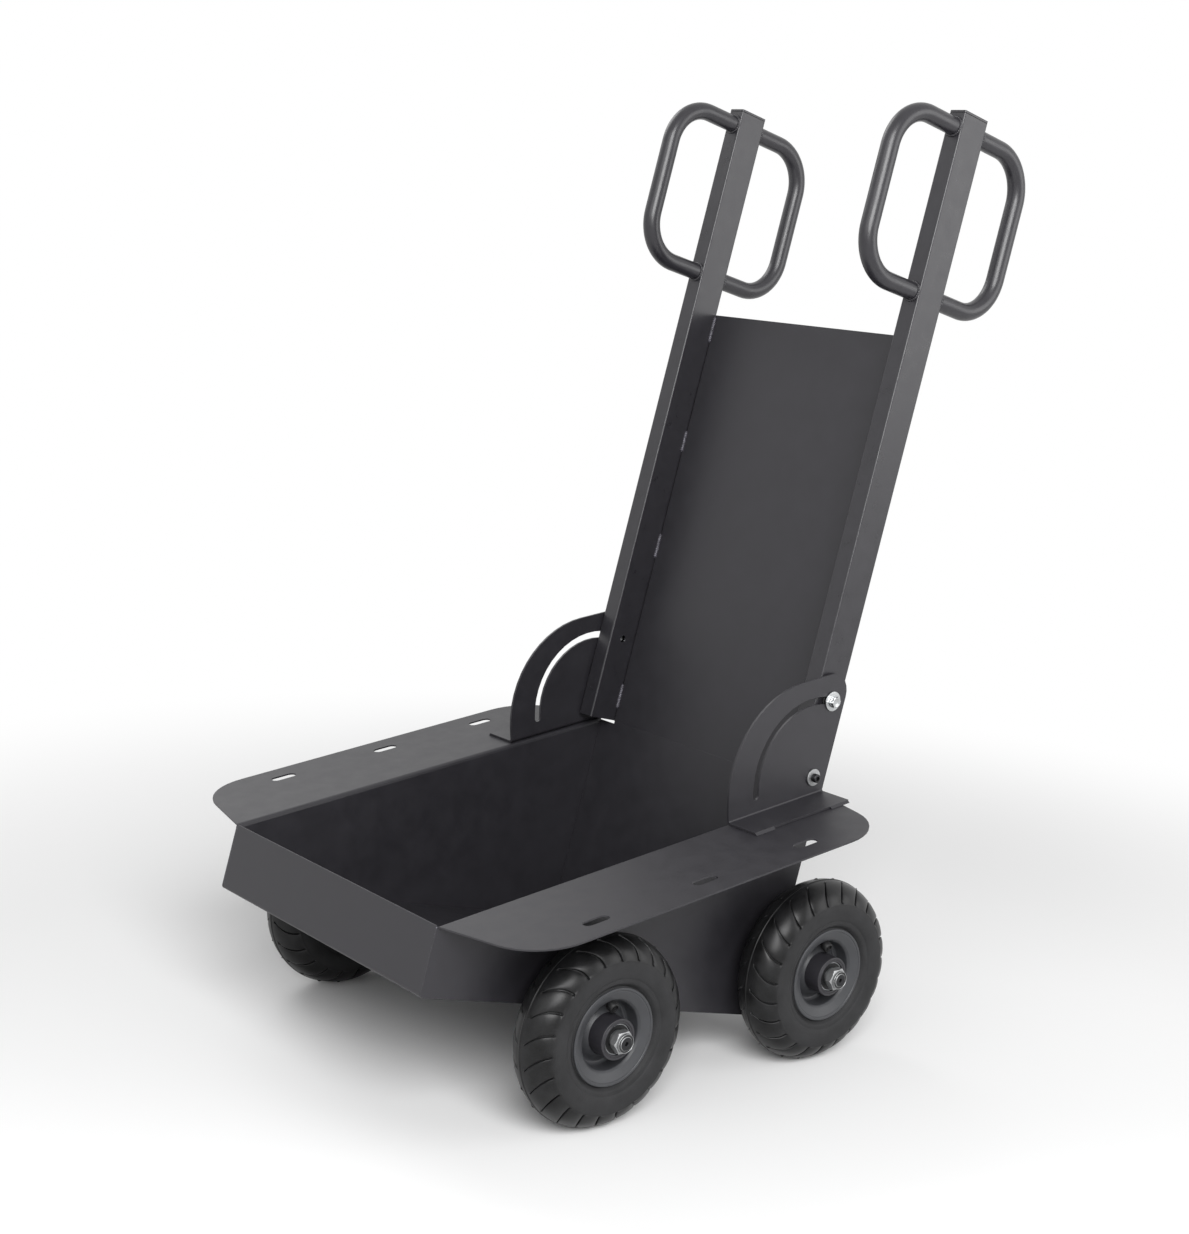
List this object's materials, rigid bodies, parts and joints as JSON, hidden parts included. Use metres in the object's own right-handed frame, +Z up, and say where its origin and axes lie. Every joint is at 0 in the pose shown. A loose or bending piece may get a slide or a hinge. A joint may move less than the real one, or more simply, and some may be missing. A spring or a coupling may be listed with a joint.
{
  "type": "camera cart",
  "caption": "Folded-steel utility cart: sloping tray with side wings, push frame folding forward on slotted quadrant brackets, U grips and pneumatic wheels.",
  "frame": {"origin": "on the ground under the middle of the bounding box", "axes": "+X across the cart to its right as seen by the person who pushes it, +Y to the rear, towards the push frame, +Z up"},
  "size_m": [0.68, 0.883, 1.1231],
  "materials": {
    "powder_coat": "satin, finely mottled dark grey powder coat",
    "tyre": "satin black",
    "tube": "black",
    "zinc_steel": "bright zinc plate",
    "black_steel": "black oxide",
    "nylon": "matte black"
  },
  "bodies": {
    "chassis": {"tray_pan": "powder_coat", "side_left": "powder_coat", "bracket_left": "powder_coat", "side_right": "powder_coat", "bracket_right": "powder_coat", "axle_front": "zinc_steel", "axle_rear": "zinc_steel", "axle_nut_front_left": "zinc_steel", "axle_nut_front_right": "zinc_steel", "axle_nut_rear_left": "zinc_steel", "axle_nut_rear_right": "zinc_steel"},
    "back_frame": {"back_panel": "powder_coat", "upright_left": "powder_coat", "cap_left": "powder_coat", "grip_front_left": "powder_coat", "grip_rear_left": "powder_coat", "pivot_bolt_left": "black_steel", "pivot_washer_left": "zinc_steel", "pivot_spacer_left": "nylon", "clamp_bolt_left": "zinc_steel", "clamp_washer_left": "zinc_steel", "clamp_spacer_left": "nylon", "upright_right": "powder_coat", "cap_right": "powder_coat", "grip_front_right": "powder_coat", "grip_rear_right": "powder_coat", "pivot_bolt_right": "black_steel", "pivot_washer_right": "zinc_steel", "pivot_spacer_right": "nylon", "clamp_bolt_right": "zinc_steel", "clamp_washer_right": "zinc_steel", "clamp_spacer_right": "nylon"},
    "wheel_front_left": {"tyre_front_left": "tyre", "inner_tube_front_left": "tube", "rim_outer_front_left": "powder_coat", "rim_inner_front_left": "powder_coat", "hub_front_left": "powder_coat", "bearing_outer_front_left": "zinc_steel", "bearing_inner_front_left": "zinc_steel"},
    "wheel_front_right": {"tyre_front_right": "tyre", "inner_tube_front_right": "tube", "rim_outer_front_right": "powder_coat", "rim_inner_front_right": "powder_coat", "hub_front_right": "powder_coat", "bearing_outer_front_right": "zinc_steel", "bearing_inner_front_right": "zinc_steel"},
    "wheel_rear_left": {"tyre_rear_left": "tyre", "inner_tube_rear_left": "tube", "rim_outer_rear_left": "powder_coat", "rim_inner_rear_left": "powder_coat", "hub_rear_left": "powder_coat", "bearing_outer_rear_left": "zinc_steel", "bearing_inner_rear_left": "zinc_steel"},
    "wheel_rear_right": {"tyre_rear_right": "tyre", "inner_tube_rear_right": "tube", "rim_outer_rear_right": "powder_coat", "rim_inner_rear_right": "powder_coat", "hub_rear_right": "powder_coat", "bearing_outer_rear_right": "zinc_steel", "bearing_inner_rear_right": "zinc_steel"}
  },
  "joints": [
    {"name": "back_fold", "type": "hinge", "parent": "chassis", "child": "back_frame", "pos_m": [0, 0.12196, 0.33169], "axis": [1, 0, 0], "range_deg": [0, 110.88]},
    {"name": "wheel_spin_front_left", "type": "hinge", "parent": "chassis", "child": "wheel_front_left", "pos_m": [-0.252, -0.23605, 0.11], "axis": [1, 0, 0], "continuous": true},
    {"name": "wheel_spin_front_right", "type": "hinge", "parent": "chassis", "child": "wheel_front_right", "pos_m": [0.252, -0.23605, 0.11], "axis": [1, 0, 0], "continuous": true},
    {"name": "wheel_spin_rear_left", "type": "hinge", "parent": "chassis", "child": "wheel_rear_left", "pos_m": [-0.252, 0.096, 0.11], "axis": [1, 0, 0], "continuous": true},
    {"name": "wheel_spin_rear_right", "type": "hinge", "parent": "chassis", "child": "wheel_rear_right", "pos_m": [0.252, 0.096, 0.11], "axis": [1, 0, 0], "continuous": true}
  ]
}
